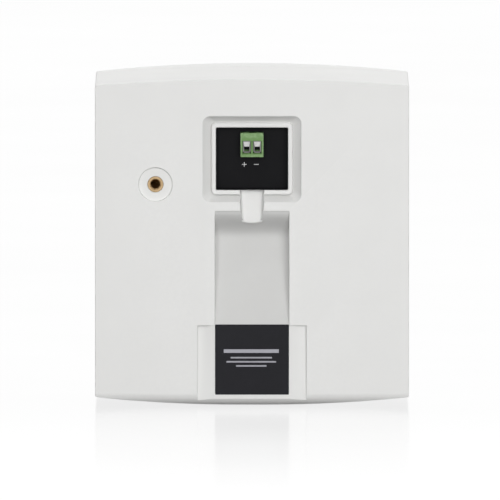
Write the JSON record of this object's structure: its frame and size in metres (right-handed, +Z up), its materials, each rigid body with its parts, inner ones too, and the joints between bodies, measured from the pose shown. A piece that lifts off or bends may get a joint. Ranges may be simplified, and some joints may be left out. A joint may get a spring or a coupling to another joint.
{
  "type": "wall-mount loudspeaker cabinet",
  "caption": "White passive two-way wall loudspeaker with a bracket channel, safety insert and pluggable terminal block at the back.",
  "frame": {"origin": "middle of the flat mounting face at the back, where the bracket channel's mount point lies", "axes": "-Y out of the mounting face towards the wall, +Y towards the listener, +X to the right seen from behind the cabinet, +Z up"},
  "size_m": [0.228, 0.15, 0.238],
  "materials": {
    "white_shell": "fine satin texture, moulded",
    "white_steel": "powder coated, perforated",
    "brass": "machined",
    "label": "printed film",
    "black_plastic": "fine texture",
    "baffle_plastic": "moulded",
    "green_plastic": "moulded",
    "tinned": "tinned",
    "board": "solder mask",
    "copper": "enamelled winding",
    "capacitor": "shrink sleeve",
    "ceramic": "ceramic cement",
    "red_wire": "wire insulation",
    "grey_wire": "wire insulation",
    "wadding": "polyester wadding",
    "foam": "closed cell foam",
    "rubber": "moulded",
    "black_steel": "stamped and painted",
    "dark_screws": "black zinc",
    "plated_steel": "zinc plated",
    "ferrite": "ground ferrite",
    "fibreboard": "phenolic board",
    "tinsel": "braided tinsel wire",
    "spider_cloth": "resin cloth",
    "cone_poly": "mineral filled polypropylene",
    "former": "polyimide film",
    "dome_silk": "coated silk"
  },
  "bodies": {
    "cabinet": {"rear_cabinet": "white_shell", "cabinet_walls": "white_shell", "safety_insert": "brass", "rating_label": "label", "terminal_panel": "black_plastic", "terminal_header": "green_plastic", "header_pins": "tinned", "crossover_board": "board", "board_screws": "plated_steel", "board_tabs": "tinned", "inductor_bobbin": "black_plastic", "inductor_winding": "copper", "crossover_capacitors": "capacitor", "crossover_resistor": "ceramic", "woofer_leads": "red_wire", "tweeter_leads": "grey_wire", "damping_pad": "wadding", "front_baffle": "baffle_plastic", "baffle_gasket": "foam", "baffle_screws": "dark_screws", "grille_sockets": "rubber", "woofer_frame": "black_steel", "woofer_gasket": "rubber", "woofer_screws": "dark_screws", "woofer_top_plate": "plated_steel", "woofer_magnet": "ferrite", "woofer_yoke": "plated_steel", "woofer_terminal_strip": "fibreboard", "woofer_tinsel_leads": "tinsel", "woofer_spider": "spider_cloth", "woofer_surround": "rubber", "tweeter_faceplate": "black_plastic", "tweeter_screws": "dark_screws", "tweeter_top_plate": "plated_steel", "tweeter_magnet": "ferrite", "tweeter_yoke": "plated_steel", "tweeter_tabs": "fibreboard", "tweeter_surround": "dome_silk"},
    "woofer_motion": {"woofer_cone": "cone_poly", "woofer_former": "former", "woofer_voice_coil": "copper", "woofer_dust_cap": "cone_poly"},
    "tweeter_motion": {"tweeter_dome": "dome_silk", "tweeter_voice_coil": "copper"},
    "grille": {"grille_frame": "white_shell", "grille_mesh": "white_steel", "grille_pegs": "black_plastic"},
    "plug": {"terminal_plug": "green_plastic", "plug_contacts": "tinned"},
    "cage_plus": {"clamp_cage_plus": "tinned"},
    "cage_minus": {"clamp_cage_minus": "tinned"},
    "screw_plus": {"clamp_screw_plus": "plated_steel"},
    "screw_minus": {"clamp_screw_minus": "plated_steel"}
  },
  "joints": [
    {"name": "woofer_excursion", "type": "slide", "parent": "cabinet", "child": "woofer_motion", "axis": [0, 1, 0], "range_m": [-0.004, 0.004], "stiffness_N_per_m": 1000, "deforming": ["woofer_spider", "woofer_surround", "woofer_tinsel_leads"]},
    {"name": "tweeter_excursion", "type": "slide", "parent": "cabinet", "child": "tweeter_motion", "axis": [0, 1, 0], "range_m": [-0.0003, 0.0003], "stiffness_N_per_m": 1500, "deforming": ["tweeter_surround"]},
    {"name": "grille_pull", "type": "slide", "parent": "cabinet", "child": "grille", "axis": [0, 1, 0], "range_m": [0, 0.03]},
    {"name": "plug_pull", "type": "slide", "parent": "cabinet", "child": "plug", "axis": [0, -1, 0], "range_m": [0, 0.016]},
    {"name": "clamp_screw_plus_turn", "type": "hinge", "parent": "plug", "child": "screw_plus", "pos_m": [-0.00381, 0.0085, 0.0769], "axis": [0, 0, -1], "range_deg": [0, 1728]},
    {"name": "clamp_cage_plus_lift", "type": "slide", "parent": "plug", "child": "cage_plus", "axis": [0, 0, 1], "range_m": [0, 0.0024]},
    {"name": "clamp_screw_minus_turn", "type": "hinge", "parent": "plug", "child": "screw_minus", "pos_m": [0.00381, 0.0085, 0.0769], "axis": [0, 0, -1], "range_deg": [0, 1728]},
    {"name": "clamp_cage_minus_lift", "type": "slide", "parent": "plug", "child": "cage_minus", "axis": [0, 0, 1], "range_m": [0, 0.0024]}
  ],
  "couplings": [
    {"joint": "clamp_cage_plus_lift", "follows": "clamp_screw_plus_turn", "m_per_rad": 0.000079577},
    {"joint": "clamp_cage_minus_lift", "follows": "clamp_screw_minus_turn", "m_per_rad": 0.000079577}
  ]
}
